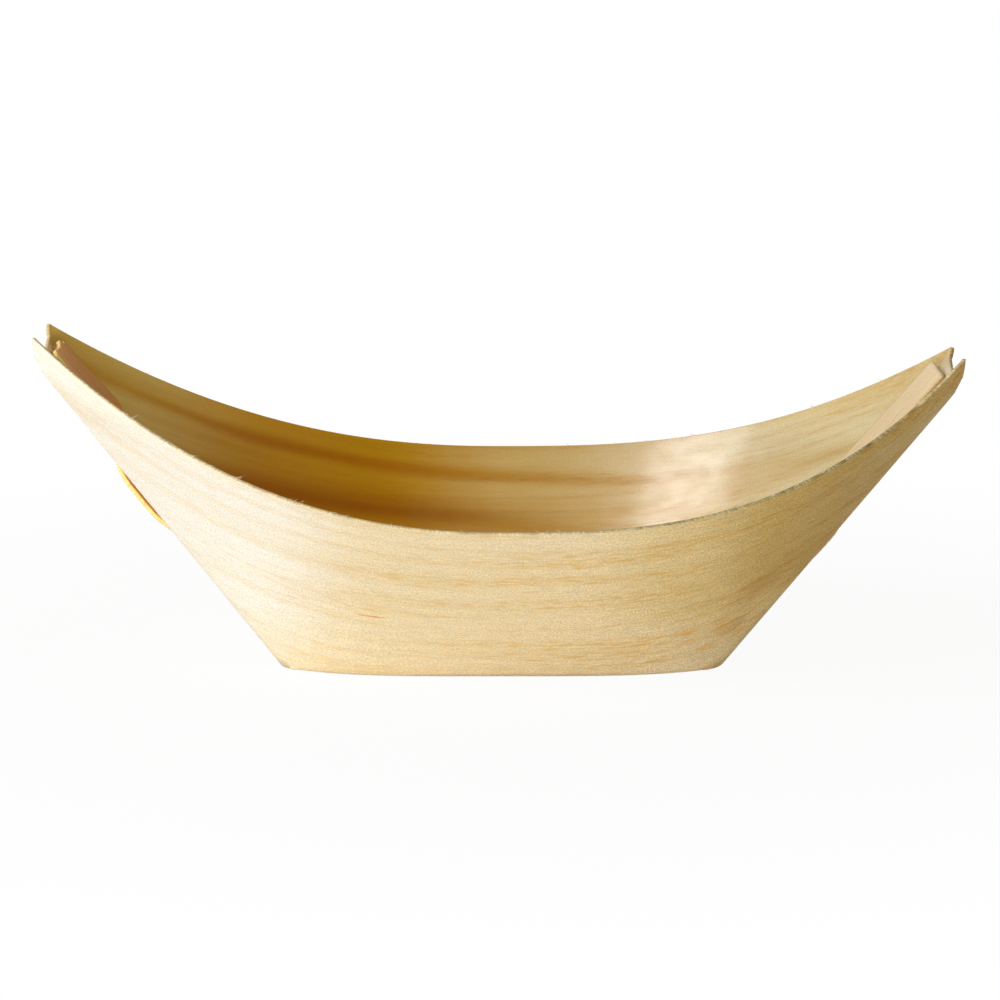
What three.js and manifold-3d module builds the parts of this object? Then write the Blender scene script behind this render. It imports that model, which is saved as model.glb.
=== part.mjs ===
// A snack boat folded from one sheet of pine veneer. The sheet makes a flat bottom, two flared side
// panels that rise into ears, and flaps that wrap round each end and overlap. A tapered splint is
// woven through two slots in the overlapping flaps of each end and locks them.
import * as THREE from "three";
import { mergeVertices } from "three/addons/utils/BufferGeometryUtils.js";
import Module from "manifold-3d";

const manifold = await Module();
manifold.setup();

// Driving dimensions in millimetres. Left is -X, right is +X, front is -Y.
const LENGTH = 169.6; // between the tips of the left and right ears
const WIDTH = 85; // across the rim at the middle
const SIDE_HEIGHT = 29.6; // of the rim at the middle
const LEFT_TIP_HEIGHT = 58.8; // of the left ears
const RIGHT_TIP_HEIGHT = 54.9; // of the right ears
const TIP_GAP = 14.4; // between the two ears of an end
const BOTTOM_LENGTH = 79.5; // between the feet of the two ends
const FOOT_SHIFT = 0.5; // of the bottom toward the right end
const BOTTOM_WIDTH = 54; // across the bottom at the middle
const BOTTOM_END_WIDTH = 39.4; // across the foot of an end
const SHEET = 0.7; // thickness of the veneer
const CLEARANCE = 0.3; // between one layer of veneer and the next
const CREASE = 1.5; // from a fold line to the flat sheet on either side of it
const CORNER_CREASE = 0.8; // the same at the corners of the bottom, where the fold is sharper
const LEFT_FOOT_CREASE = 1.8; // the same at the foot of the fold round the left end
const RIGHT_FOOT_CREASE = 2.6; // the same at the foot of the fold round the right end, which is softer
const EAR_SETBACK = 2.6; // of an ear's tip from the plane of the end
const LEFT_BACK_SETBACK = 2.5; // of the left back ear
const RIGHT_BACK_SETBACK = 1.7; // of the right back ear, whose tip stands farther out
const BACK_EAR_RISE = 1.1; // of the back ears past the front ones, measured along the end
const EAR_CURVE = 6.5; // of the curved edge below the tip, measured along the end
const EAR_HEIGHT = 3.4; // of the free part of a front ear above the flaps, measured along the end
const BACK_EAR_HEIGHT = 2.2; // of the free part of a back ear
const FLAP_REACH = 7; // of a flap's free edge past the middle of the end
const FLAP_START = 14; // of a flap's free edge above the foot of the end
const LIP_HEIGHT = 20; // of the bottom's turned-up lip, measured along the end
const LIP_MARGIN = 1.5; // from the long edge of the lip to the fold line beside it
const STRIP_START = 8; // of the lock strip above the foot of the end
const LEFT_STRIP_DROP = 4.6; // of the left strip's end below the ears' tips, along the end
const RIGHT_STRIP_DROP = 4.8; // of the right strip's end below the ears' tips
const STRIP_STANDOFF = 1.5; // of the strip's upper part from the flaps, past the clearance
const LEFT_STRIP_TOP_WIDTH = 13; // of the left strip's end
const RIGHT_STRIP_TOP_WIDTH = 16.4; // of the right strip's end
const LEFT_STRIP_FOOT_WIDTH = 28; // of the left strip's tail
const RIGHT_STRIP_FOOT_WIDTH = 19; // of the right strip's tail
const LEFT_WEAVE = 39.5; // of the left strip's outside bow above the foot of the end
const RIGHT_WEAVE = 28; // of the right strip's outside bow above the foot of the end
const LEFT_WEAVE_SPAN = 31; // of the left bow, from leaving the inside to meeting it again
const RIGHT_WEAVE_SPAN = 24; // of the right bow
const LEFT_BOW = 0.5; // of the left strip off the flaps at the middle of the bow
const RIGHT_BOW = 0.1; // of the right strip, which is pulled tight

// Shape of the curved edges, as powers of the distance from the middle.
const BOTTOM_POWER = 4; // the bottom's long edges curve in only near the corners
const LEFT_RISE = 2.2; // the rim's climb toward the left ears
const RIGHT_RISE = 2.8; // the rim's climb toward the right ears
const LEFT_SWEEP = 2.05; // the rim's turn inward toward the left ears
const RIGHT_SWEEP = 2.75; // the rim's turn inward toward the right ears
const EDGE_POWER = 6; // how near its end a panel takes up the shape of the end edge
const FRONT_EAR_POWER = 2; // the front ears' edges curve in to their tips
const BACK_EAR_POWER = 1.2; // the back ears' edges are almost straight

// Facets of the sheet.
const SIDE_COLUMNS = 30; // of a panel, along the bottom
const CORNER_COLUMNS = 3; // from the end of the bottom to the bend round the end
const SIDE_ROWS = 7; // of a panel, from the bottom to the top of the flaps
const EAR_ROWS = [0.15, 0.5, 1]; // of the ears, as parts of their height
const EAR_CURL = 0.3; // part of the bend that a back ear's tip goes round
const BEND_STEPS = 4; // round a fold
const FLOOR_ROWS = 6; // across the bottom
const STRIP_STEPS = 36; // along a lock strip

// Values that follow from the dimensions.
const PITCH = SHEET + CLEARANCE; // from one layer to the next
const FLOOR = SHEET / 2; // height of the middle of the bottom sheet
const HALF_WIDTH = (WIDTH - SHEET) / 2; // to the middle of the sheet at the rim
const FRONT = {
  side: -1,
  layer: 0, // the front flaps lie outside
  earRise: 0,
  earHeight: EAR_HEIGHT,
  earPower: FRONT_EAR_POWER,
};
const BACK = {
  side: 1,
  layer: 1, // the back flaps lie under them
  earRise: BACK_EAR_RISE,
  earHeight: BACK_EAR_HEIGHT,
  earPower: BACK_EAR_POWER,
};
const STRIP_LAYER = 2; // the lock strip lies inside both flaps
const LIP_LAYER = 3; // the lip holds the strip's tail from the inside
const LIP_FOOT_LAYER = 2; // below the strip's tail the lip lies close to the flaps

// One end of the boat. Its plane climbs from the foot of the end. A place in it is given by the
// distance along the slope, the distance across, the distance out of the plane and the layer.
function makeEnd(sign, shape) {
  const tip = { x: LENGTH / 2, z: shape.tipHeight };
  const footX = BOTTOM_LENGTH / 2 + sign * FOOT_SHIFT;
  const run = tip.x - footX;
  const climb = tip.z - FLOOR;
  const chord = Math.hypot(run, climb);
  const angle = Math.atan2(climb, run) - Math.asin(EAR_SETBACK / chord);
  const reach = Math.sqrt(chord ** 2 - EAR_SETBACK ** 2);
  const along = new THREE.Vector3(sign * Math.cos(angle), 0, Math.sin(angle));
  const out = new THREE.Vector3(sign * Math.sin(angle), 0, -Math.cos(angle));
  const foot = new THREE.Vector3(sign * footX, 0, FLOOR);
  const end = { ...shape, sign, tip, footX, reach };
  end.flapTop = reach - EAR_HEIGHT;
  end.stripTop = reach - shape.stripDrop;
  end.inset = (layer) => (layer * PITCH) / Math.sin(angle);
  end.foldHalf = (q) => (BOTTOM_END_WIDTH + ((TIP_GAP - BOTTOM_END_WIDTH) * q) / reach) / 2;
  end.crease = (b) => mix(shape.footCrease, CREASE, b);
  end.setback = (panel) => (panel === BACK ? shape.backSetback : EAR_SETBACK);
  end.lipHalf = (q) => end.foldHalf(q) - LIP_MARGIN;
  end.stripHalf = (q) => {
    const down = (end.stripTop - q) / (end.stripTop - STRIP_START);
    return mix(shape.stripTopWidth, shape.stripFootWidth, down) / 2;
  };
  end.place = (q, across, outward, layer) => {
    const point = foot.clone().addScaledVector(along, q).addScaledVector(out, outward);
    point.x -= sign * end.inset(layer);
    point.y = across;
    return point;
  };
  end.matrix = new THREE.Matrix4().makeBasis(new THREE.Vector3(0, sign, 0), along, out);
  end.matrix.setPosition(foot);
  return end;
}

const LEFT = makeEnd(-1, {
  tipHeight: LEFT_TIP_HEIGHT,
  rise: LEFT_RISE,
  sweep: LEFT_SWEEP,
  footCrease: LEFT_FOOT_CREASE,
  backSetback: LEFT_BACK_SETBACK,
  weave: LEFT_WEAVE,
  span: LEFT_WEAVE_SPAN,
  bow: LEFT_BOW,
  stripDrop: LEFT_STRIP_DROP,
  stripTopWidth: LEFT_STRIP_TOP_WIDTH,
  stripFootWidth: LEFT_STRIP_FOOT_WIDTH,
});
const RIGHT = makeEnd(1, {
  tipHeight: RIGHT_TIP_HEIGHT,
  rise: RIGHT_RISE,
  sweep: RIGHT_SWEEP,
  footCrease: RIGHT_FOOT_CREASE,
  backSetback: RIGHT_BACK_SETBACK,
  weave: RIGHT_WEAVE,
  span: RIGHT_WEAVE_SPAN,
  bow: RIGHT_BOW,
  stripDrop: RIGHT_STRIP_DROP,
  stripTopWidth: RIGHT_STRIP_TOP_WIDTH,
  stripFootWidth: RIGHT_STRIP_FOOT_WIDTH,
});

function endAt(s) {
  return s < 0 ? LEFT : RIGHT;
}

// Side panels. A panel is ruled from the bottom's long edge (b = 0) to the rim (b = 1), and runs from
// its left end edge (s = -1) to its right one (s = 1).
function footX(panel, end) {
  return end.footX - end.inset(panel.layer);
}

function columnAt(panel, x) {
  return x / footX(panel, endAt(x));
}

function bottomPoint(panel, s) {
  const narrowing = (BOTTOM_WIDTH - BOTTOM_END_WIDTH) * Math.abs(s) ** BOTTOM_POWER;
  const half = (BOTTOM_WIDTH - narrowing) / 2;
  return new THREE.Vector3(s * footX(panel, endAt(s)), panel.side * half, FLOOR);
}

function rimPoint(panel, s) {
  const end = endAt(s);
  const x = s * (end.tip.x - end.inset(panel.layer));
  const y = HALF_WIDTH - (HALF_WIDTH - TIP_GAP / 2) * Math.abs(s) ** end.sweep;
  const z = SIDE_HEIGHT + (end.tip.z - SIDE_HEIGHT) * Math.abs(s) ** end.rise;
  return new THREE.Vector3(x, panel.side * y, z);
}

// A panel's end edge follows the fold line almost up to the ear and then curves in to the ear's tip.
function endEdge(panel, end, b) {
  const tip = end.reach + panel.earRise;
  const q = b * tip;
  const free = Math.max(0, (q - tip) / EAR_CURVE + 1);
  const outward = -end.setback(panel) * free ** panel.earPower;
  return end.place(q, panel.side * end.foldHalf(q), outward, panel.layer);
}

function panelPoint(panel, s, b) {
  const end = endAt(s);
  const ruled = bottomPoint(panel, s).lerp(rimPoint(panel, s), b);
  const straight = bottomPoint(panel, end.sign).lerp(rimPoint(panel, end.sign), b);
  const shift = endEdge(panel, end, b).sub(straight);
  return ruled.addScaledVector(shift, Math.abs(s) ** EDGE_POWER);
}

// The crease along the bottom's long edge gets sharper toward the corners.
function creaseWidth(panel, s) {
  const end = endAt(s);
  const last = columnAt(panel, bottomEnd(end));
  const past = Math.max(0, (Math.abs(s) - last) / (1 - last));
  return mix(CREASE, CORNER_CREASE, Math.abs(s) ** BOTTOM_POWER) * (1 - past);
}

// Rows of a panel: from the crease to the height at which the flaps stop, then on through the ears to
// the rim.
function panelRows(panel, s) {
  const first = creaseWidth(panel, s) / bottomPoint(panel, s).distanceTo(rimPoint(panel, s));
  const low = 1 - panel.earHeight / (LEFT.reach + panel.earRise);
  const high = 1 - panel.earHeight / (RIGHT.reach + panel.earRise);
  const top = low + ((high - low) * (s + 1)) / 2;
  const rows = steps(SIDE_ROWS).map((f) => first + (top - first) * f);
  return rows.concat(EAR_ROWS.map((f) => top + (1 - top) * f));
}

// The bend round an end starts one crease width before the panel's end edge.
function bendStart(panel, end, b) {
  const back = 1e-3;
  const edge = panelPoint(panel, end.sign, b);
  const speed = panelPoint(panel, end.sign * (1 - back), b).distanceTo(edge) / back;
  return end.sign * (1 - end.crease(b) / speed);
}

// The bottom stops one crease width before the foot of the lip.
function bottomEnd(end) {
  return end.footX - end.inset(LIP_FOOT_LAYER) - CORNER_CREASE;
}

function steps(count) {
  return Array.from({ length: count + 1 }, (_, i) => i / count);
}

function mix(from, to, f) {
  return from + (to - from) * f;
}

function bend(from, corner, to) {
  return new THREE.QuadraticBezierCurve3(from, corner, to).getPoints(BEND_STEPS);
}

// Columns of the bottom, from left to right.
const FLOOR_X = steps(SIDE_COLUMNS).map((f) => mix(-bottomEnd(LEFT), bottomEnd(RIGHT), f));

// Patches of the sheet's middle surface: each is a list of columns of points.
function sidePatch(panel) {
  const columns = FLOOR_X.map((x) => {
    const s = columnAt(panel, x);
    return panelRows(panel, s).map((b) => panelPoint(panel, s, b));
  });
  const left = cornerColumns(panel, LEFT).reverse();
  return left.concat(columns, cornerColumns(panel, RIGHT));
}

function cornerColumns(panel, end) {
  const last = columnAt(panel, end.sign * bottomEnd(end));
  return steps(CORNER_COLUMNS)
    .slice(1)
    .map((f) =>
      panelRows(panel, mix(last, end.sign, f)).map((b) =>
        panelPoint(panel, mix(last, bendStart(panel, end, b), f), b),
      ),
    );
}

// The crease goes on past the end of the bottom and narrows to a point at the foot of the end.
function curlPatch(panel, end) {
  const last = columnAt(panel, end.sign * bottomEnd(end));
  return steps(CORNER_COLUMNS).map((f) => {
    const column = mix(last, end.sign, f);
    const row = panelRows(panel, column)[0];
    const s = mix(last, bendStart(panel, end, row), f);
    const corner = bottomPoint(panel, s);
    const inner = corner.clone().setY(corner.y - panel.side * creaseWidth(panel, column));
    return bend(panelPoint(panel, s, row), corner, inner);
  });
}

// The strip of a front ear past the start of the bend, which comes to a point at the top of the flaps.
function earPatch(panel, end) {
  const rows = panelRows(panel, end.sign).slice(SIDE_ROWS);
  return steps(2).map((f) =>
    rows.map((b, i) => {
      const start = bendStart(panel, end, b);
      return panelPoint(panel, i === 0 ? start : mix(start, end.sign, f), b);
    }),
  );
}

// The bend round an end in one row of a flap, and the flap's free edge there.
function flapRow(panel, end, b, rise) {
  const start = panelPoint(panel, bendStart(panel, end, b), b);
  const fold = endEdge(panel, end, b);
  const q = mix(FLAP_START, end.flapTop, rise);
  const free = end.place(q, -panel.side * FLAP_REACH, 0, panel.layer);
  const flat = fold.clone().lerp(free, end.crease(b) / fold.distanceTo(free));
  return { curve: new THREE.QuadraticBezierCurve3(start, fold, flat), flat, free };
}

// A back ear goes round the bend with its flap, less and less toward its tip.
function curledEarPatch(panel, end) {
  const rows = panelRows(panel, end.sign).slice(SIDE_ROWS);
  const lines = rows.map((b, i) => {
    const last = i === 0 ? 1 : mix(1, EAR_CURL, EAR_ROWS[i - 1]);
    const { curve } = flapRow(panel, end, b, 1);
    return steps(BEND_STEPS).map((f) => curve.getPoint(f * last));
  });
  return lines[0].map((_, i) => lines.map((line) => line[i]));
}

// A flap: the bend round the end, then the flat flap as far as its free edge.
function flapPatch(panel, end) {
  const rows = panelRows(panel, end.sign).slice(0, SIDE_ROWS + 1);
  const lines = rows.map((b, i) => {
    const { curve, flat, free } = flapRow(panel, end, b, i / SIDE_ROWS);
    return curve.getPoints(BEND_STEPS).concat([flat.clone().lerp(free, 0.5), free]);
  });
  return lines[0].map((_, i) => lines.map((line) => line[i]));
}

function floorEdge(panel, x) {
  const s = columnAt(panel, x);
  const corner = bottomPoint(panel, s);
  return corner.clone().setY(corner.y - panel.side * creaseWidth(panel, s));
}

function creaseLine(panel, x) {
  const s = columnAt(panel, x);
  const start = panelPoint(panel, s, panelRows(panel, s)[0]);
  return bend(start, bottomPoint(panel, s), floorEdge(panel, x));
}

// The bottom, with the crease along each of its long edges.
function bottomPatch() {
  return FLOOR_X.map((x) => {
    const across = steps(FLOOR_ROWS).map((f) => floorEdge(FRONT, x).lerp(floorEdge(BACK, x), f));
    const back = creaseLine(BACK, x).reverse();
    return creaseLine(FRONT, x).concat(across.slice(1, -1), back);
  });
}

// The lip that the bottom turns up inside an end.
function lipPatch(end) {
  const x = end.sign * bottomEnd(end);
  const lines = steps(FLOOR_ROWS).map((f) => {
    const base = floorEdge(FRONT, x).lerp(floorEdge(BACK, x), f);
    const at = (q, layer) => end.place(q, mix(-1, 1, f) * end.lipHalf(q), 0, layer);
    const low = at(CORNER_CREASE, LIP_FOOT_LAYER);
    const corner = end.place(0, (base.y + low.y) / 2, 0, LIP_FOOT_LAYER);
    const upper = [at(STRIP_START - CREASE, LIP_LAYER), at(LIP_HEIGHT, LIP_LAYER)];
    return bend(base, corner, low).concat(upper);
  });
  return lines[0].map((_, i) => lines.map((line) => line[i]));
}

// A lock strip in the frame of its end. Its tail lies under the lip, it comes out through the lower
// slot, bows over the flaps, goes in through the upper slot and stands off the flaps inside.
function weaveBase(direction) {
  return -STRIP_LAYER * PITCH - (direction > 0 ? STRIP_STANDOFF : 0);
}

function weave(end, q) {
  const base = weaveBase(q - end.weave);
  const offset = Math.min(Math.abs(q - end.weave) / (end.span / 2), 1);
  return mix(PITCH + end.bow, base, Math.sin((offset * Math.PI) / 2) ** 4);
}

// How far from the middle of the bow the strip passes a given height.
function weaveOffset(end, height, direction) {
  const fallen = (PITCH + end.bow - height) / (PITCH + end.bow - weaveBase(direction));
  return (end.span / Math.PI) * Math.asin(fallen ** 0.25);
}

function stripPatch(end) {
  return [-1, 0, 1].map((side) =>
    steps(STRIP_STEPS).map((f) => {
      const q = mix(STRIP_START, end.stripTop, f);
      return new THREE.Vector3(side * end.stripHalf(q), q, weave(end, q));
    }),
  );
}

// Gives patches of a middle surface the thickness of the sheet and closes them into one solid.
function sheetSolid(patches) {
  const corners = [];
  for (const { points, flip } of patches) {
    for (let i = 0; i + 1 < points.length; i++) {
      for (let j = 0; j + 1 < points[i].length; j++) {
        const ring = [points[i][j], points[i + 1][j], points[i + 1][j + 1], points[i][j + 1]];
        if (flip) ring.reverse();
        corners.push(ring[0], ring[1], ring[2], ring[0], ring[2], ring[3]);
      }
    }
  }
  const middle = mergeVertices(new THREE.BufferGeometry().setFromPoints(corners), 1e-3);
  const triangles = [];
  for (let i = 0; i < middle.index.count; i += 3) {
    const [a, b, c] = [0, 1, 2].map((k) => middle.index.getX(i + k));
    if (a !== b && b !== c && c !== a) triangles.push([a, b, c]);
  }
  middle.setIndex(triangles.flat());
  middle.computeVertexNormals();
  const edges = new Set(triangles.flatMap(([a, b, c]) => [`${a},${b}`, `${b},${c}`, `${c},${a}`]));
  const count = middle.attributes.position.count;
  const vertices = [];
  for (const side of [1, -1]) {
    for (let i = 0; i < count; i++) {
      const point = new THREE.Vector3().fromBufferAttribute(middle.attributes.position, i);
      const normal = new THREE.Vector3().fromBufferAttribute(middle.attributes.normal, i);
      vertices.push(...point.addScaledVector(normal, (side * SHEET) / 2).toArray());
    }
  }
  const faces = [];
  for (const [a, b, c] of triangles) {
    faces.push(a, b, c, c + count, b + count, a + count);
    for (const [from, to] of [[a, b], [b, c], [c, a]]) {
      if (edges.has(`${to},${from}`)) continue;
      faces.push(to, from, from + count, to, from + count, to + count);
    }
  }
  const mesh = new manifold.Mesh({
    numProp: 3,
    vertProperties: new Float32Array(vertices),
    triVerts: new Uint32Array(faces),
  });
  return new manifold.Manifold(mesh);
}

function solidOf(geometry) {
  const bare = new THREE.BufferGeometry();
  bare.setAttribute("position", geometry.getAttribute("position"));
  const merged = mergeVertices(bare, 1e-4);
  const mesh = new manifold.Mesh({
    numProp: 3,
    vertProperties: merged.attributes.position.array,
    triVerts: new Uint32Array(merged.index.array),
  });
  return new manifold.Manifold(mesh);
}

function geometryOf(solid) {
  const mesh = solid.getMesh();
  const geometry = new THREE.BufferGeometry();
  geometry.setAttribute("position", new THREE.BufferAttribute(mesh.vertProperties, 3));
  geometry.setIndex(new THREE.BufferAttribute(mesh.triVerts, 1));
  geometry.computeVertexNormals();
  return geometry;
}

// A slot through both flaps of an end, where the strip passes through them on one side of its bow.
function slotSolid(end, direction) {
  const near = end.weave + direction * weaveOffset(end, PITCH, direction);
  const far = end.weave + direction * weaveOffset(end, -STRIP_LAYER * PITCH, direction);
  const [low, high] = near < far ? [near, far] : [far, near];
  const wide = end.stripHalf(low) + CLEARANCE;
  const narrow = end.stripHalf(high) + CLEARANCE;
  const outline = new THREE.Shape([
    new THREE.Vector2(-wide, low),
    new THREE.Vector2(wide, low),
    new THREE.Vector2(narrow, high),
    new THREE.Vector2(-narrow, high),
  ]);
  const geometry = new THREE.ExtrudeGeometry(outline, { depth: 2 * PITCH, bevelEnabled: false });
  geometry.translate(0, 0, -1.5 * PITCH);
  geometry.applyMatrix4(end.matrix);
  return solidOf(geometry);
}

function hullGeometry() {
  const patches = [
    { points: sidePatch(FRONT), flip: false },
    { points: sidePatch(BACK), flip: true },
    { points: bottomPatch(), flip: true },
    { points: lipPatch(LEFT), flip: false },
    { points: lipPatch(RIGHT), flip: true },
  ];
  for (const panel of [FRONT, BACK]) {
    for (const end of [LEFT, RIGHT]) {
      const flip = panel.side === end.sign;
      patches.push({ points: flapPatch(panel, end), flip });
      const ear = panel === BACK ? curledEarPatch(panel, end) : earPatch(panel, end);
      patches.push({ points: ear, flip });
      patches.push({ points: curlPatch(panel, end), flip: !flip });
    }
  }
  let hull = sheetSolid(patches);
  for (const end of [LEFT, RIGHT]) {
    for (const direction of [-1, 1]) {
      hull = hull.subtract(slotSolid(end, direction));
    }
  }
  return geometryOf(hull);
}

function makeMesh(name, geometry, colour) {
  const material = new THREE.MeshStandardMaterial({ color: colour, roughness: 0.7, metalness: 0 });
  const mesh = new THREE.Mesh(geometry, material);
  mesh.name = name;
  return mesh;
}

function lockStrip(name, end) {
  const geometry = geometryOf(sheetSolid([{ points: stripPatch(end), flip: false }]));
  const mesh = makeMesh(name, geometry, 0xdcb689);
  end.matrix.decompose(mesh.position, mesh.quaternion, mesh.scale);
  return mesh;
}

const boat = new THREE.Group();
boat.name = "snack_boat";
boat.add(makeMesh("folded_hull", hullGeometry(), 0xe8d2a0));
boat.add(lockStrip("left_lock_strip", LEFT));
boat.add(lockStrip("right_lock_strip", RIGHT));

export default boat;
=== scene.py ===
# %% [markdown]
# A snack boat folded from thin pine veneer.
# The real boat is one sheet, pressed into a flat bottom with two flared sides. Round each end the
# sheet is turned in as two overlapping flaps, and a veneer strip woven through slots locks them.
# The solids of the part are loaded first. They fix the frame: metres, X along the boat, Z up.

# %% Load the frame
import math
import random
from functools import partial
import bmesh
import bpy
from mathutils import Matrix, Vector, noise


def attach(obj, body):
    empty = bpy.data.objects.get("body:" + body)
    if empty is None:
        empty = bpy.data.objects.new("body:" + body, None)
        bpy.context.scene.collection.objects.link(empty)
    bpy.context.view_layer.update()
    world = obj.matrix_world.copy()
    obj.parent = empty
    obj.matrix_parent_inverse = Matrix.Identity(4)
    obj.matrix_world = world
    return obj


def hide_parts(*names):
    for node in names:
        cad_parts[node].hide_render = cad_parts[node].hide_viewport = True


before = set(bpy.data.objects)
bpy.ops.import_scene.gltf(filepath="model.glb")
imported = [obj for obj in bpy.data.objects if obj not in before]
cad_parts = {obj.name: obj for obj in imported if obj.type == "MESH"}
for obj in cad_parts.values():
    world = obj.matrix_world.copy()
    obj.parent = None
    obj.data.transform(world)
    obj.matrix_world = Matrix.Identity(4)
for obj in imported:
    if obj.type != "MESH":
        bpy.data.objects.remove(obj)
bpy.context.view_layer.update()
print("nodes:", sorted(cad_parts))

# %% [markdown]
# The sizes of the boat, in millimetres.
# They are the same ones that the solids were made from, so every piece lies where its solid does.
# An overall scale or a mesh copied from the solids would also fit, but named sizes can be changed.

# %% Sizes of the boat
MM = 0.001
LENGTH = 169.6  # between the tips of the left and right ears
WIDTH = 85  # across the rim at the middle
SIDE_HEIGHT = 29.6  # of the rim at the middle
TIP_GAP = 14.4  # between the two ears of an end
BOTTOM_LENGTH = 79.5  # between the feet of the two ends
FOOT_SHIFT = 0.5  # of the bottom toward the right end
BOTTOM_WIDTH = 54  # across the bottom at the middle
BOTTOM_END_WIDTH = 39.4  # across the foot of an end
SHEET = 0.7  # thickness of the veneer
PITCH = SHEET + 0.3  # from one layer of veneer to the next
CREASE = 1.5  # from a fold line to the flat sheet on either side of it
CORNER_CREASE = 0.8  # the same at the corners of the bottom
EAR_SETBACK = 2.6  # of an ear's tip from the plane of the end
EAR_CURVE = 6.5  # of the curved edge below the tip
EAR_HEIGHT = 3.4  # of the free part of a front ear above the flaps
BACK_EAR_HEIGHT = 2.2  # of the free part of a back ear
EAR_CURL = 0.3  # part of the bend that a back ear's tip goes round
FLAP_REACH = 7  # of a flap's free edge past the middle of the end
FLAP_START = 14  # of a flap's free edge above the foot of the end
LIP_HEIGHT = 20  # of the bottom's turned-up lip
LIP_MARGIN = 1.5  # from the long edge of the lip to the fold line beside it
FLOOR = SHEET / 2  # height of the middle of the bottom sheet
HALF_WIDTH = (WIDTH - SHEET) / 2
BOTTOM_POWER = 4  # the bottom's long edges curve in only near the corners
EDGE_POWER = 6  # how near its end a panel takes up the shape of the end edge
TINY = 1e-3  # step over which a slope is measured
print("rim:", LENGTH, "by", WIDTH, "mm")


def mix(a, b, f):
    return a + (b - a) * f


# %% [markdown]
# An end of the boat is a sloping plane from its foot to its ears. A place on it is given by the
# distances up, across and out of it, and by the layer of veneer. Its faces could be drawn at once,
# but so flaps, lips and strips share one description. The two ends differ a little.


# %% The two ends
class End:
    def __init__(self, sign, tip_height, rise, sweep, foot_crease, back_setback):
        self.sign, self.tip_height, self.rise, self.sweep = sign, tip_height, rise, sweep
        self.foot_crease, self.back_setback = foot_crease, back_setback
        self.foot_x = BOTTOM_LENGTH / 2 + sign * FOOT_SHIFT
        run = LENGTH / 2 - self.foot_x
        climb = tip_height - FLOOR
        chord = math.hypot(run, climb)
        angle = math.atan2(climb, run) - math.asin(EAR_SETBACK / chord)
        self.reach = math.sqrt(chord**2 - EAR_SETBACK**2)
        self.along = Vector((sign * math.cos(angle), 0, math.sin(angle)))
        self.out = Vector((sign * math.sin(angle), 0, -math.cos(angle)))
        self.foot = Vector((sign * self.foot_x, 0, FLOOR))
        self.step = PITCH / math.sin(angle)
        self.flap_top = self.reach - EAR_HEIGHT

    def inset(self, layer):
        return layer * self.step

    def crease(self, b):
        return mix(self.foot_crease, CREASE, b)

    def fold_half(self, q):
        return mix(BOTTOM_END_WIDTH, TIP_GAP, q / self.reach) / 2

    def place(self, q, across, outward, layer):
        point = self.foot + self.along * q + self.out * outward
        return Vector((point.x - self.sign * self.inset(layer), across, point.z))


LEFT = End(-1, tip_height=58.8, rise=2.2, sweep=2.05, foot_crease=1.8, back_setback=2.5)
RIGHT = End(1, tip_height=54.9, rise=2.8, sweep=2.75, foot_crease=2.6, back_setback=1.7)


def end_at(s):
    return LEFT if s < 0 else RIGHT


print("slopes of the ends:", [round(math.degrees(math.asin(e.along.z)), 1) for e in (LEFT, RIGHT)])

# %% [markdown]
# A side panel is ruled from the long edge of the bottom (b = 0) to the rim (b = 1), and runs from
# its left end edge (s = -1) to its right one (s = 1). Near an end it bends to meet the end edge,
# which follows the fold line and then curves in to the tip of the ear. A patch between drawn curves
# could do it, but a formula also places the grain and the loose fibres.


# %% Surface of a side panel
class Panel:
    def __init__(self, side, layer, ear_rise, ear_height, ear_power):
        self.side, self.layer = side, layer
        self.ear_rise, self.ear_height, self.ear_power = ear_rise, ear_height, ear_power

    def foot_x(self, end):
        return end.foot_x - end.inset(self.layer)

    def column(self, x):
        return x / self.foot_x(end_at(x))

    def bottom(self, s):
        half = mix(BOTTOM_WIDTH, BOTTOM_END_WIDTH, abs(s) ** BOTTOM_POWER) / 2
        return Vector((s * self.foot_x(end_at(s)), self.side * half, FLOOR))

    def rim(self, s):
        end = end_at(s)
        x = s * (LENGTH / 2 - end.inset(self.layer))
        y = mix(HALF_WIDTH, TIP_GAP / 2, abs(s) ** end.sweep)
        return Vector((x, self.side * y, mix(SIDE_HEIGHT, end.tip_height, abs(s) ** end.rise)))

    def end_edge(self, end, b):
        tip = end.reach + self.ear_rise
        q = b * tip
        free = max(0, (q - tip) / EAR_CURVE + 1)
        setback = end.back_setback if self.side > 0 else EAR_SETBACK
        outward = -setback * free**self.ear_power
        return end.place(q, self.side * end.fold_half(q), outward, self.layer)

    def point(self, s, b):
        end = end_at(s)
        straight = self.bottom(end.sign).lerp(self.rim(end.sign), b)
        shift = self.end_edge(end, b) - straight
        return self.bottom(s).lerp(self.rim(s), b) + shift * abs(s) ** EDGE_POWER

    def bend_start(self, end, b):
        speed = (self.point(end.sign * (1 - TINY), b) - self.point(end.sign, b)).length / TINY
        return end.sign * (1 - end.crease(b) / speed)


# The front flaps lie outside.
FRONT = Panel(-1, layer=0, ear_rise=0, ear_height=EAR_HEIGHT, ear_power=2)
BACK = Panel(1, layer=1, ear_rise=1.1, ear_height=BACK_EAR_HEIGHT, ear_power=1.2)
LIP_FOOT_LAYER, LIP_LAYER = 2, 3


def bottom_end(end):
    return end.foot_x - end.inset(LIP_FOOT_LAYER) - CORNER_CREASE


def crease_width(panel, s):
    last = abs(panel.column(end_at(s).sign * bottom_end(end_at(s))))
    past = max(0, (abs(s) - last) / (1 - last))
    return mix(CREASE, CORNER_CREASE, abs(s) ** BOTTOM_POWER) * (1 - past)


print("rim at the middle of the front:", FRONT.rim(0))

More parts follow.
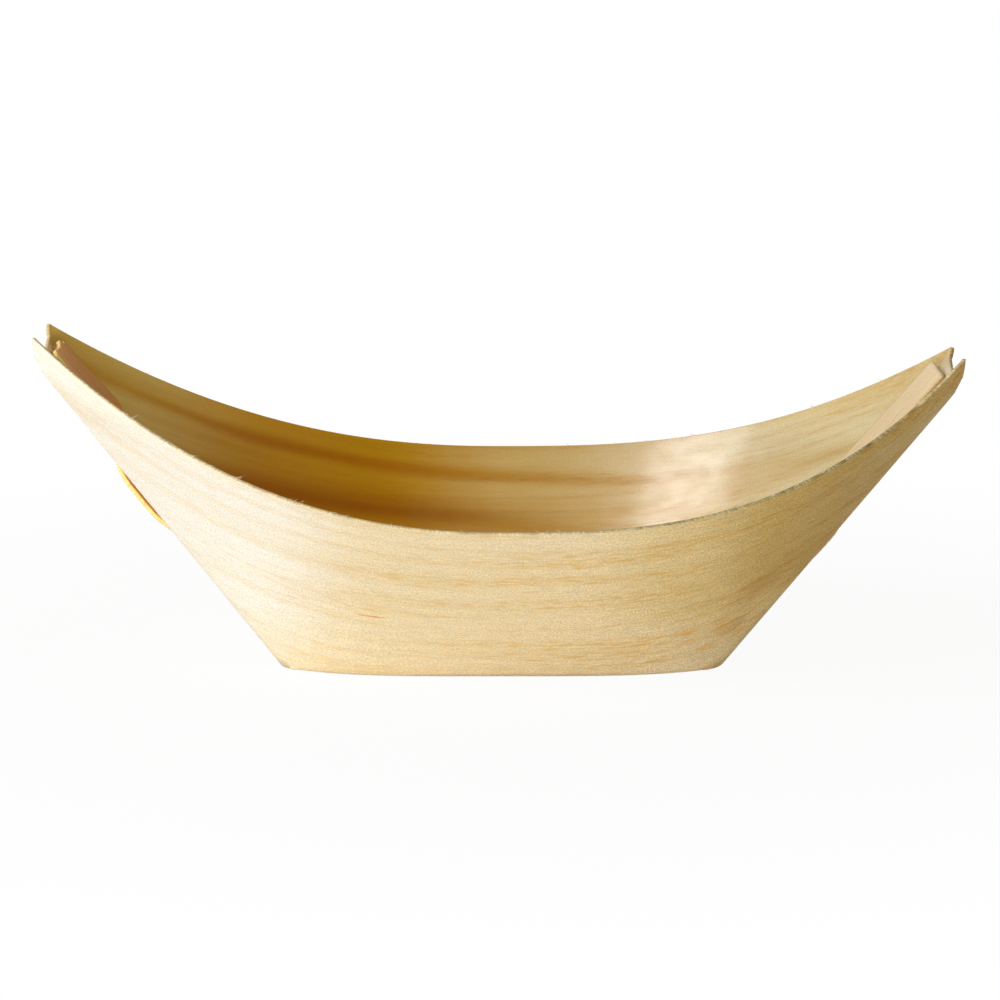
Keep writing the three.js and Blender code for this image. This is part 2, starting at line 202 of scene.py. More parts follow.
# %% [markdown]
# The grain of the veneer runs along the sheet and follows it round every fold. So each vertex also
# gets its place on the flat sheet, kept in a UV map: the distance along the rim and the distance
# down from it, one unit for 100 mm. Wood made from the object's own coordinates would run straight
# through the rising ends.

# %% Places on the flat sheet
UV_MAP = "sheet"
UV_UNIT = 100
RIM_STEPS = 400
BACK_START = 160  # keeps the back panel's part of the sheet apart


def rim_step(panel, i):
    a, b = (panel.rim(-1 + 2 * k / RIM_STEPS) for k in (i, i + 1))
    return b - a


def rim_lengths(panel):
    lengths = [0.0]
    for i in range(RIM_STEPS):
        lengths.append(lengths[-1] + rim_step(panel, i).length)
    middle = lengths[RIM_STEPS // 2]
    return [value - middle for value in lengths]


for rim_panel in (FRONT, BACK):
    rim_panel.lengths = rim_lengths(rim_panel)


def rim_frame(panel, s):
    place = (s + 1) / 2 * RIM_STEPS
    i = min(int(place), RIM_STEPS - 1)
    length = mix(panel.lengths[i], panel.lengths[i + 1], place - i)
    return length, rim_step(panel, i).normalized()


def panel_sheet(panel, s, b):
    length, tangent = rim_frame(panel, s)
    drop = panel.point(s, b) - panel.rim(s)
    run = drop.dot(tangent)
    down = (drop - tangent * run).length
    return Vector((length + run, down + (BACK_START if panel is BACK else 0)))


print("length of the rim:", round(FRONT.lengths[-1] - FRONT.lengths[0], 1), "mm")

# %% [markdown]
# The hull could be cut from a block or swept along a curve, but it is a sheet, so it is made as
# one: plain grids, one for each part of the sheet, are laid on the surface, joined along their
# shared edges, and given their thickness at the end. Row and column numbers are shared between
# neighbours, so that their edges meet vertex for vertex.

# %% Grids laid on a surface
SIDE_COLUMNS = 120  # of a panel, along the bottom
CORNER_COLUMNS = 4  # from the end of the bottom to the bend round the end
SIDE_ROWS = 30  # of a panel, from the bottom to the top of the flaps
EAR_ROWS = 8  # of the ears
EAR_COLUMNS = 4  # of a front ear, past the bend
BEND_STEPS = 8  # round a fold
FLAP_STEPS = 10  # across the flat of a flap
FLOOR_ROWS = 32  # across the bottom
LIP_STEPS = 10  # up the flat of a lip


def new_sheet():
    bm = bmesh.new()
    bm.loops.layers.uv.new(UV_MAP)
    return bm


def lay_grid(bm, columns, rows, place):
    """Adds a grid of columns by rows cells, whose vertex i, j goes to place(i, j)."""
    made = bmesh.ops.create_grid(bm, x_segments=columns, y_segments=rows, size=0.5)
    uv_layer = bm.loops.layers.uv[UV_MAP]
    sheet_of = {}
    for vert in made["verts"]:
        i = round((vert.co.x + 0.5) * columns)
        j = round((vert.co.y + 0.5) * rows)
        point, sheet = place(i, j)
        vert.co = point * MM
        sheet_of[vert] = sheet / UV_UNIT
    faces = {face for vert in made["verts"] for face in vert.link_faces}
    for face in faces:
        for loop in face.loops:
            loop[uv_layer].uv = sheet_of[loop.vert]
    return faces


def bend(start, corner, finish, f):
    return start.lerp(corner, f).lerp(corner.lerp(finish, f), f)


def floor_x(i):
    return mix(-bottom_end(LEFT), bottom_end(RIGHT), i / SIDE_COLUMNS)


def panel_row(panel, s, j):
    """Place of row j between the bottom (0) and the rim (1)."""
    first = crease_width(panel, s) / (panel.bottom(s) - panel.rim(s)).length
    left, right = (panel.ear_height / (end.reach + panel.ear_rise) for end in (LEFT, RIGHT))
    top = 1 - mix(left, right, (s + 1) / 2)
    if j <= SIDE_ROWS:
        return mix(first, top, j / SIDE_ROWS)
    return mix(top, 1, (j - SIDE_ROWS) / EAR_ROWS)


# %% [markdown]
# The side panels and front ears are the sheet's long margins, pressed up. A cloth simulation could
# bend a plane, but would need tuning to meet the photograph. The ruled surface places each vertex.


# %% Side panels
def lay_panel(bm, panel):
    def place(i, j):
        i -= CORNER_COLUMNS
        end = LEFT if i < 0 else RIGHT
        beyond = -i if i < 0 else i - SIDE_COLUMNS
        if beyond <= 0:
            s = panel.column(floor_x(i))
            b = panel_row(panel, s, j)
        else:
            f = beyond / CORNER_COLUMNS
            last = panel.column(end.sign * bottom_end(end))
            b = panel_row(panel, mix(last, end.sign, f), j)
            s = mix(last, panel.bend_start(end, b), f)
        return panel.point(s, b), panel_sheet(panel, s, b)

    columns = SIDE_COLUMNS + 2 * CORNER_COLUMNS
    return lay_grid(bm, columns, SIDE_ROWS + EAR_ROWS, place)


def lay_ear(bm, panel, end):
    """The strip of a front ear past the bend, which comes to a point at the top of the flaps."""

    def place(i, j):
        b = panel_row(panel, end.sign, SIDE_ROWS + j)
        s = mix(panel.bend_start(end, b), end.sign, 0 if j == 0 else i / EAR_COLUMNS)
        return panel.point(s, b), panel_sheet(panel, s, b)

    return lay_grid(bm, EAR_COLUMNS, EAR_ROWS, place)


# %% [markdown]
# The flaps. Past the fold each panel goes on round the end and lies flat on it. A bevel could round
# the fold, but a row of a flap that is a curve and then a straight line sets how tight it is.


# %% Flaps
def flap_row(panel, end, b, rise):
    """Start, fold line and finish of the bend in one row of a flap, and the flap's free edge."""
    start = panel.point(panel.bend_start(end, b), b)
    fold = panel.end_edge(end, b)
    q = mix(FLAP_START, end.flap_top, rise)
    free = end.place(q, -panel.side * FLAP_REACH, 0, panel.layer)
    return start, fold, fold.lerp(free, end.crease(b) / (free - fold).length), free


def flap_sheet(panel, end, b, point, start):
    """Place on the flat sheet of a point in that row of a flap."""

    def fold_sheet(b):
        return panel_sheet(panel, panel.bend_start(end, b), b)

    climb = (panel.end_edge(end, b + TINY) - panel.end_edge(end, b - TINY)).normalized()
    turn = (fold_sheet(b + TINY) - fold_sheet(b - TINY)).normalized()
    beside = Vector((abs(turn.y), -turn.x * turn.y / max(abs(turn.y), 1e-9))) * end.sign
    rise = (point - start).dot(climb)
    wide = (point - start - climb * rise).length
    return fold_sheet(b) + turn * rise + beside * wide


def lay_flap(bm, panel, end):
    """The bend round an end and the flat flap as far as its free edge."""

    def place(i, j):
        b = panel_row(panel, end.sign, j)
        start, fold, flat, free = flap_row(panel, end, b, j / SIDE_ROWS)
        if i <= BEND_STEPS:
            point = bend(start, fold, flat, i / BEND_STEPS)
        else:
            point = flat.lerp(free, (i - BEND_STEPS) / FLAP_STEPS)
        return point, flap_sheet(panel, end, b, point, start)

    return lay_grid(bm, BEND_STEPS + FLAP_STEPS, SIDE_ROWS, place)


# %% Back ears and corners of the bottom
def lay_curled_ear(bm, panel, end):
    """A back ear, which goes round the bend with its flap, less and less toward its tip."""

    def place(i, j):
        b = panel_row(panel, end.sign, SIDE_ROWS + j)
        start, fold, flat, _ = flap_row(panel, end, b, 1)
        last = mix(1, EAR_CURL, j / EAR_ROWS)
        point = bend(start, fold, flat, i / BEND_STEPS * last)
        return point, flap_sheet(panel, end, b, point, start)

    return lay_grid(bm, BEND_STEPS, EAR_ROWS, place)


def lay_curl(bm, panel, end):
    """The crease past the end of the bottom, which narrows to a point at the foot of the end."""
    last = panel.column(end.sign * bottom_end(end))

    def place(i, j):
        f = i / CORNER_COLUMNS
        column = mix(last, end.sign, f)
        row = panel_row(panel, column, 0)
        s = mix(last, panel.bend_start(end, row), f)
        first = panel.point(s, row)
        corner = panel.bottom(s)
        inner = corner - Vector((0, panel.side * crease_width(panel, column), 0))
        point = bend(first, corner, inner, j / BEND_STEPS)
        return point, panel_sheet(panel, s, row) + Vector((0, (point - first).length))

    return lay_grid(bm, CORNER_COLUMNS, BEND_STEPS, place)


# %% [markdown]
# The bottom is flat between two creases, and its short ends turn up as lips, which hold the tails
# of the strips. An edge could be extruded into a lip, but a grid has the rows for its bend at once.


# %% Bottom and lips
def floor_edge(panel, x):
    s = panel.column(x)
    corner = panel.bottom(s)
    return Vector((corner.x, corner.y - panel.side * crease_width(panel, s), corner.z))


def lay_bottom(bm):
    rows = FLOOR_ROWS + 2 * BEND_STEPS

    def place(i, j):
        x = floor_x(i)
        panel = FRONT if j <= rows / 2 else BACK
        k = j if panel is FRONT else rows - j
        s = panel.column(x)
        first = panel.point(s, panel_row(panel, s, 0))
        if k < BEND_STEPS:
            point = bend(first, panel.bottom(s), floor_edge(panel, x), k / BEND_STEPS)
        else:
            point = floor_edge(FRONT, x).lerp(floor_edge(BACK, x), (j - BEND_STEPS) / FLOOR_ROWS)
        sheet = panel_sheet(panel, s, panel_row(panel, s, 0))
        return point, sheet + Vector((0, (point - first).length))

    return lay_grid(bm, SIDE_COLUMNS, rows, place)


def lay_lip(bm, end):
    x = end.sign * bottom_end(end)

    def place(i, j):
        f = i / FLOOR_ROWS
        base = floor_edge(FRONT, x).lerp(floor_edge(BACK, x), f)

        def at(q, layer):
            return end.place(q, mix(-1, 1, f) * (end.fold_half(q) - LIP_MARGIN), 0, layer)

        low = at(CORNER_CREASE, LIP_FOOT_LAYER)
        middle = at(STRIP_START - CREASE, LIP_LAYER)
        if j <= BEND_STEPS:
            corner = end.place(0, (base.y + low.y) / 2, 0, LIP_FOOT_LAYER)
            point = bend(base, corner, low, j / BEND_STEPS)
        elif j <= BEND_STEPS + LIP_STEPS / 2:
            point = low.lerp(middle, (j - BEND_STEPS) / (LIP_STEPS / 2))
        else:
            f_up = (j - BEND_STEPS - LIP_STEPS / 2) / (LIP_STEPS / 2)
            point = middle.lerp(at(LIP_HEIGHT, LIP_LAYER), f_up)
        s = FRONT.column(x)
        sheet = panel_sheet(FRONT, s, panel_row(FRONT, s, 0))
        return point, sheet + Vector((end.sign * (point - base).length, f * BOTTOM_END_WIDTH))

    return lay_grid(bm, FLOOR_ROWS, BEND_STEPS + LIP_STEPS, place)


print("flat of the bottom:", round(bottom_end(LEFT) + bottom_end(RIGHT), 1), "mm long")

# %% [markdown]
# The lock strips. Each is a tapered splint of the same veneer. Its tail lies between the flaps and
# the lip, it comes out through a lower slot, bows over the flaps, goes in again through an upper
# slot and stands off the flaps inside, up to its square-cut end. A curve with a flat bevel could
# make it, but a grid laid on the same path keeps its grain in the UV map as on the hull.

# %% Path of a lock strip
STRIP_START = 8  # of the strip above the foot of the end
STRIP_STANDOFF = 1.5  # of its upper part from the flaps
SLOT_MARGIN = 0.3  # from the strip to the side of a slot
STRIP_STEPS = 120  # along it
STRIP_ROWS = 24  # across it
STRIP_LAYER = 2
WEAVE_POWER = 4  # how flat a strip lies on top of its bow
TEAR_STEP, TEAR_PLACE = 0.37, (3.7, 0.5)  # place in the noise that tears a strip's end
TEAR_POWER = 8  # how near its end a strip is torn


class Strip:
    def __init__(self, end, weave, span, bow, foot_width, top_width, drop):
        self.end, self.foot_width, self.top_width = end, foot_width, top_width
        self.weave, self.span, self.bow = weave, span, bow  # middle, length and height of the bow
        self.top = end.reach - drop  # of its end, below the tips of the ears

    def half(self, q):
        down = (self.top - q) / (self.top - STRIP_START)
        return mix(self.top_width, self.foot_width, down) / 2

    def base(self, direction):
        return -STRIP_LAYER * PITCH - (STRIP_STANDOFF if direction > 0 else 0)

    def height(self, q):
        offset = min(abs(q - self.weave) / (self.span / 2), 1)
        fall = math.sin(offset * math.pi / 2) ** WEAVE_POWER
        return mix(PITCH + self.bow, self.base(q - self.weave), fall)

    def offset(self, height, direction):
        fallen = (PITCH + self.bow - height) / (PITCH + self.bow - self.base(direction))
        return self.span / math.pi * math.asin(fallen ** (1 / WEAVE_POWER))

    def slot(self, direction):
        """Lower and upper edge of a slot."""
        near = self.weave + direction * self.offset(PITCH, direction)
        far = self.weave + direction * self.offset(-STRIP_LAYER * PITCH, direction)
        return sorted((near, far))


LEFT_STRIP = Strip(LEFT, weave=39.5, span=31, bow=0.5, foot_width=28, top_width=13, drop=4.6)
RIGHT_STRIP = Strip(RIGHT, weave=28, span=24, bow=0.1, foot_width=19, top_width=16.4, drop=4.8)


def lay_strip(bm, strip, ragged):
    """The grid of a strip. Its end is torn by up to ragged millimetres."""
    end = strip.end

    def place(i, j):
        f, rise = i / STRIP_ROWS, j / STRIP_STEPS
        tear = ragged * noise.noise(Vector((i * TEAR_STEP, *TEAR_PLACE)))
        q = mix(STRIP_START, strip.top + tear * rise**TEAR_POWER, rise)
        across = mix(-1, 1, f) * strip.half(q)
        point = end.place(q, across, strip.height(q), 0)
        return point, Vector((q, across))

    return lay_grid(bm, STRIP_ROWS, STRIP_STEPS, place)


print("slots of the left end:", [[round(v, 1) for v in LEFT_STRIP.slot(d)] for d in (-1, 1)])

# %% [markdown]
# The parts of the sheet are joined by merging the vertices that lie together, and the slots are
# cut by slicing the flaps along the four sides of each slot and deleting what lies between. A
# boolean would cut them too, but it needs closed solids.

# %% Cut a slot
MERGE = 1e-6  # in metres


def cut_slot(bm, faces, strip, low, high):
    """Cuts a slot that is as wide as the strip and its margin at both of its edges."""
    end = strip.end
    wide, narrow = strip.half(low) + SLOT_MARGIN, strip.half(high) + SLOT_MARGIN
    lean = end.along * (wide - narrow) / (high - low)
    sides = [(low, 0, end.along), (high, 0, end.along)]
    sides += [(low, wide, Vector((0, 1, 0)) + lean), (low, -wide, Vector((0, -1, 0)) + lean)]
    for q, across, normal in sides:
        faces = {face for face in faces if face.is_valid}
        edges = {edge for face in faces for edge in face.edges}
        verts = {vert for face in faces for vert in face.verts}
        cut = bmesh.ops.bisect_plane(
            bm, geom=[*verts, *edges, *faces], dist=MERGE,
            plane_co=end.place(q, across, 0, 0) * MM, plane_no=normal.normalized(),
        )
        faces = {item for item in cut["geom"] if isinstance(item, bmesh.types.BMFace)}
    gone = []
    for face in faces:
        centre = face.calc_center_median() / MM
        q = (centre - end.foot).dot(end.along)
        if low < q < high and abs(centre.y) < strip.half(q) + SLOT_MARGIN:
            gone.append(face)
    bmesh.ops.delete(bm, geom=gone, context="FACES")
    return {face for face in faces if face.is_valid}


# %% Join the sheet
def build_hull():
    bm = new_sheet()
    part = bm.faces.layers.int.new("flap_of")
    for panel in (FRONT, BACK):
        lay_panel(bm, panel)
        for number, end in enumerate((LEFT, RIGHT), start=1):
            (lay_ear if panel is FRONT else lay_curled_ear)(bm, panel, end)
            lay_curl(bm, panel, end)
            for face in lay_flap(bm, panel, end):
                face[part] = number
    lay_bottom(bm)
    for end in (LEFT, RIGHT):
        lay_lip(bm, end)
    bmesh.ops.remove_doubles(bm, verts=bm.verts[:], dist=MERGE)
    bmesh.ops.recalc_face_normals(bm, faces=bm.faces[:])
    lowest = min(bm.faces, key=lambda face: face.calc_center_median().length)
    if lowest.normal.z > 0:
        bmesh.ops.reverse_faces(bm, faces=bm.faces[:])
    for number, strip in enumerate((LEFT_STRIP, RIGHT_STRIP), start=1):
        faces = {face for face in bm.faces if face[part] == number}
        for direction in (-1, 1):
            faces = cut_slot(bm, faces, strip, *strip.slot(direction))
    return bm


# %% Pieces and their thickness
def make_piece(name, bm, materials):
    mesh = bpy.data.meshes.new(name)
    bm.to_mesh(mesh)
    bm.free()
    piece = bpy.data.objects.new(name, mesh)
    bpy.context.scene.collection.objects.link(piece)
    for material in materials:
        mesh.materials.append(material)
    mesh.shade_smooth()
    return piece


def give_thickness(piece):
    modifier = piece.modifiers.new("veneer", "SOLIDIFY")
    modifier.thickness = SHEET * MM
    modifier.offset = 0
    modifier.material_offset = 1
    modifier.material_offset_rim = 2


# %% [markdown]
# The wood. Pine veneer shows broad bands, where the knife ran along a growth ring, fine fibre
# lines, short dashes where it cut through resin canals, and pores. An image of wood would repeat
# and fix the scale, so the wood is made of noise, stretched along the grain in the sheet's own UV
# map. The parts that all the finishes share are node groups.

# %% Helpers for shader nodes
def add_node(kind, inputs, tree=None, **settings):
    """Adds a shader node to the tree, or to that of its inputs, which are values or sockets."""
    sockets = [value for value in inputs.values() if isinstance(value, bpy.types.NodeSocket)]
    tree = tree or sockets[0].id_data
    node = tree.nodes.new("ShaderNode" + kind)
    for key, value in settings.items():
        setattr(node, key, value)
    for key, value in inputs.items():
        if isinstance(value, bpy.types.NodeSocket):
            tree.links.new(value, node.inputs[key])
        else:
            node.inputs[key].default_value = value
    return node


def math_node(operation, a, b):
    return add_node("Math", {0: a, 1: b}, operation=operation).outputs[0]


times, plus, minus = (partial(math_node, kind) for kind in ("MULTIPLY", "ADD", "SUBTRACT"))


def vector_math(operation, a, b):
    return add_node("VectorMath", {0: a, 1: b}, operation=operation).outputs[0]


def parts(vector):
    return add_node("SeparateXYZ", {0: vector}).outputs


def mix_colour(factor, a, b, blend="MIX"):
    inputs = {0: factor, 6: a, 7: b}
    return add_node("Mix", inputs, data_type="RGBA", blend_type=blend).outputs[2]


def mix_value(factor, a, b):
    return add_node("Mix", {0: factor, 2: a, 3: b}, data_type="FLOAT").outputs[0]


def map_range(value, low, high, to_low=0.0, to_high=1.0, kind="SMOOTHSTEP"):
    inputs = {0: value, 1: low, 2: high, 3: to_low, 4: to_high}
    return add_node("MapRange", inputs, clamp=True, interpolation_type=kind).outputs[0]


# %% Helpers for noise, groups and materials
NOISE_ROUGHNESS = 0.55


def stretched_noise(sheet, across, along, detail, seed):
    """Noise on the sheet with so many features in 100 mm across and along the grain."""
    scaled = vector_math("MULTIPLY", sheet, (along, across, 1.0))
    shifted = vector_math("ADD", scaled, (seed, 2.3 * seed, seed))
    inputs = {"Vector": shifted, "Scale": 1.0, "Detail": detail, "Roughness": NOISE_ROUGHNESS}
    return add_node("TexNoise", inputs).outputs[0]


def mix_shader(factor, a, b):
    return add_node("MixShader", {0: factor, 1: a.outputs[0], 2: b.outputs[0]})


def show(shader, kind="OutputMaterial"):
    add_node(kind, {0: shader.outputs[0]})


def new_material(name):
    material = bpy.data.materials.new(name)
    material.use_nodes = True
    material.node_tree.nodes.clear()
    return material, material.node_tree


def new_group(name, inputs, outputs):
    tree = bpy.data.node_groups.new(name, "ShaderNodeTree")
    for socket, kind in inputs:
        tree.interface.new_socket(socket, in_out="INPUT", socket_type="NodeSocket" + kind)
    for socket, kind in outputs:
        tree.interface.new_socket(socket, in_out="OUTPUT", socket_type="NodeSocket" + kind)
    given = tree.nodes.new("NodeGroupInput").outputs
    result = tree.nodes.new("NodeGroupOutput").inputs
    return tree, given, result


# %% [markdown]
# A growth ring is a soft dark band. A wave texture would repeat it at a fixed distance, so each
# ring is a bell curve round a line of its own, swayed by a little noise.

# %% Group of a growth ring
RING_SWAY = 2.2  # bends of a ring in 100 mm
RING_APART = 37.0  # keeps the sways of two rings apart
RING_FADE = (-0.1, 0.5, 1.0, 0.28)  # two places along the sheet and the strength at each


def ring_group():
    """A soft band along the grain, at Centre in the middle of the sheet. It falls by Slope to the
    right and sags by Curve toward both ends, and it is weaker to the right."""
    floats = [(name, "Float") for name in ("Centre", "Slope", "Curve", "Width", "Wobble")]
    inputs = [("Sheet", "Vector"), *floats]
    tree, given, result = new_group("growth_ring", inputs, [("Mask", "Float")])
    along, down, _ = parts(given["Sheet"])
    seed = times(given["Centre"], RING_APART)
    place = add_node("CombineXYZ", {0: along, 1: seed, 2: 0.0}).outputs[0]
    inputs = {"Vector": place, "Scale": RING_SWAY, "Detail": 2.0}
    sway = add_node("TexNoise", inputs).outputs[0]
    sway = times(minus(sway, 0.5), given["Wobble"])
    fall = plus(given["Slope"], times(along, given["Curve"]))
    centre = plus(given["Centre"], times(along, fall))
    off = math_node("DIVIDE", minus(minus(down, centre), sway), given["Width"])
    square = times(times(off, off), -1.0)
    fade = map_range(along, *RING_FADE)
    mask = times(math_node("POWER", math.e, square), fade)
    tree.links.new(mask, result["Mask"])
    return tree


RING = ring_group()
print(RING.name, len(RING.nodes), "nodes")

# %% [markdown]
# A resin mark is an amber streak where the knife cut a resin canal. Painting it would take an
# image, so it is an ellipse on the sheet, broken up by noise.

# %% Group of a resin mark
MARK_NOISE = (300.0, 60.0, 2.0, 8.8)
MARK_BREAK = 1.6  # how much the noise takes away
MARK_EDGE = (0.7, 1.7, 1.0, 0.0)  # where a mark is full, and where it is gone


def mark_group():
    """A broken streak of that length and height round a place on the sheet."""
    inputs = [("Sheet", "Vector"), ("Place", "Vector")]
    inputs += [(name, "Float") for name in ("Length", "Height", "Lean")]
    tree, given, result = new_group("resin_mark", inputs, [("Mask", "Float")])
    off = vector_math("SUBTRACT", given["Sheet"], given["Place"])
    along, down, _ = parts(off)
    down = minus(down, times(along, given["Lean"]))
    along = math_node("DIVIDE", along, times(given["Length"], 0.5))
    down = math_node("DIVIDE", down, times(given["Height"], 0.5))
    far = plus(math_node("POWER", along, 2.0), math_node("POWER", down, 2.0))
    broken = stretched_noise(given["Sheet"], *MARK_NOISE)
    far = plus(far, times(broken, MARK_BREAK))
    tree.links.new(map_range(far, *MARK_EDGE), result["Mask"])
    return tree


MARK = mark_group()
print(MARK.name, len(MARK.nodes), "nodes")

# %% [markdown]
# The grain is all that is finer: bands, rows of dashes, fibre and speckle. One noise would be long
# or short everywhere, so each has its own.

# %% Group of the wood's grain
GRAIN_NOISES = {  # features in 100 mm across and along the grain, detail and seed
    "broad": (9.0, 0.6, 2.0, 1.7),
    "rows": (42.0, 1.6, 2.0, 5.1),
    "strokes": (250.0, 26.0, 3.0, 4.2),
    "fibre": (300.0, 40.0, 2.0, 9.4),
    "grit": (400.0, 320.0, 1.0, 2.9),
    "hue": (330.0, 240.0, 1.0, 6.3),
    "blotch": (42.0, 22.0, 3.0, 7.7),
}
ROW_PART = 0.6  # of the rows in the bands
BAND_RANGE, STROKE_RANGE, ROW_RANGE = (0.6, 1.0), (0.43, 0.72), (0.42, 0.62)
GRIT_RANGE = (0.30, 0.65, 0.2, 1.4)  # two values and how strong a dash is there
DASHES_ALONG = (-0.6, 0.6, 0.45, 1.6)  # two places along the sheet and how many dashes are there
SPECKLE_ALONG = (-0.1, 0.6, 1.0, 2.0)  # the same for the speckle
FIBRE_IN_TONE, GRIT_IN_HEIGHT = 0.25, 0.5
WARM, COOL = (1.02, 0.99, 0.91, 1), (0.99, 1.01, 1.08, 1)  # hues of single fibres
HUE_RANGE = (0.35, 0.65)


def grain_group():
    """Bands, Dashes and Speckle set how strong each is. The wood is coarser to the right."""
    inputs = [("Sheet", "Vector"), ("Pale", "Color"), ("Deep", "Color"), ("Dash", "Color")]
    inputs += [(name, "Float") for name in ("Bands", "Dashes", "Speckle")]
    outputs = [("Color", "Color"), ("Height", "Float"), ("Mottle", "Float")]
    tree, given, result = new_group("veneer_grain", inputs, outputs)
    sheet = given["Sheet"]
    broad, rows, strokes, fibre, grit, hue, blotch = (
        stretched_noise(sheet, *numbers) for numbers in GRAIN_NOISES.values()
    )

    bands = plus(broad, times(rows, ROW_PART))
    bands = times(map_range(bands, *BAND_RANGE), given["Bands"])
    colour = mix_colour(bands, given["Pale"], given["Deep"])

    along = parts(sheet)[0]
    dense = map_range(along, *DASHES_ALONG)
    marks = times(map_range(strokes, *STROKE_RANGE), map_range(rows, *ROW_RANGE))
    marks = times(marks, map_range(grit, *GRIT_RANGE))
    marks = times(times(marks, dense), given["Dashes"])
    colour = mix_colour(math_node("MINIMUM", marks, 1.0), colour, given["Dash"])

    tone = mix_value(FIBRE_IN_TONE, grit, fibre)
    coarse = times(given["Speckle"], map_range(along, *SPECKLE_ALONG))
    tone = plus(times(minus(tone, 0.5), coarse), 1.0)
    grey = add_node("CombineColor", {0: tone, 1: tone, 2: tone}).outputs[0]
    colour = mix_colour(1.0, colour, grey, "MULTIPLY")
    hues = mix_colour(map_range(hue, *HUE_RANGE), WARM, COOL)
    hued = mix_colour(1.0, colour, hues, "MULTIPLY")
    colour = mix_colour(given["Speckle"], colour, hued)
    tree.links.new(colour, result["Color"])
    tree.links.new(mix_value(GRIT_IN_HEIGHT, fibre, grit), result["Height"])
    tree.links.new(blotch, result["Mottle"])
    return tree


GRAIN = grain_group()
print(GRAIN.name, len(GRAIN.nodes), "nodes")

# %% [markdown]
# Finishes. The knife leaves one face of a veneer tight and satin, here the inside, and the other
# loose and fibrous. The cut edge is greyer and rougher. Each could be a shader of its own, but one
# function makes them all, so that they stay one wood.

# %% Colours along the sheet
TINT_REACH = 100  # from the sheet's middle to the ends of the ramp of tints
LEAN_START, LEAN_STOP = 16, 30  # where the lean of the tints starts and ends, below the rim
LEAN_ALONG = (0.5, 0.6)  # where it starts and is full, along the ramp


def srgb(red, green, blue):
    def linear(value):
        value /= 255
        return value / 12.92 if value <= 0.04045 else ((value + 0.055) / 1.055) ** 2.4

    return (linear(red), linear(green), linear(blue), 1.0)


def add_group(group, sheet, values):
    return add_node("Group", {"Sheet": sheet, **values}, node_tree=group).outputs


def sheet_along(sheet):
    """From 0 at the left end of the ramp to 1 at its right end."""
    reach = TINT_REACH / UV_UNIT
    return map_range(parts(sheet)[0], -reach, reach, kind="LINEAR")


def sheet_tint(sheet, colour, stops, lean):
    """The colour changes along the sheet. A stop is a distance from the middle and a factor.
    In the right half the stops lie farther to the right toward the bottom, by up to lean."""
    place = sheet_along(sheet)
    if lean:
        low = map_range(parts(sheet)[1], LEAN_START / UV_UNIT, LEAN_STOP / UV_UNIT)
        shift = map_range(place, *LEAN_ALONG, 0.0, lean / TINT_REACH / 2)
        place = minus(place, times(low, shift))
    ramp = add_node("ValToRGB", {0: place})
    ramp.color_ramp.interpolation = "EASE"
    elements = ramp.color_ramp.elements
    while len(elements) < len(stops):
        elements.new(0.5)
    for element, (distance, factor) in zip(elements, stops):
        element.position = (distance / TINT_REACH + 1) / 2
        element.color = (*factor, 1.0)
    return mix_colour(1.0, colour, ramp.outputs[0], "MULTIPLY")


# %% A finish of the veneer
MOTTLE_RANGE = (0.35, 0.65)
SHEEN_ALONG = (0.35, 0.65)  # where the sheen changes, along the ramp
SHEEN_WORN = (0.25, 0.75, 1.0, 0.6)  # two values and how much sheen is left there
COAT = {"Coat Roughness": 0.25, "Coat IOR": 1.7}
THROUGH = (1.0, 0.82, 0.46, 1.0)  # what the wood leaves of light that passes it


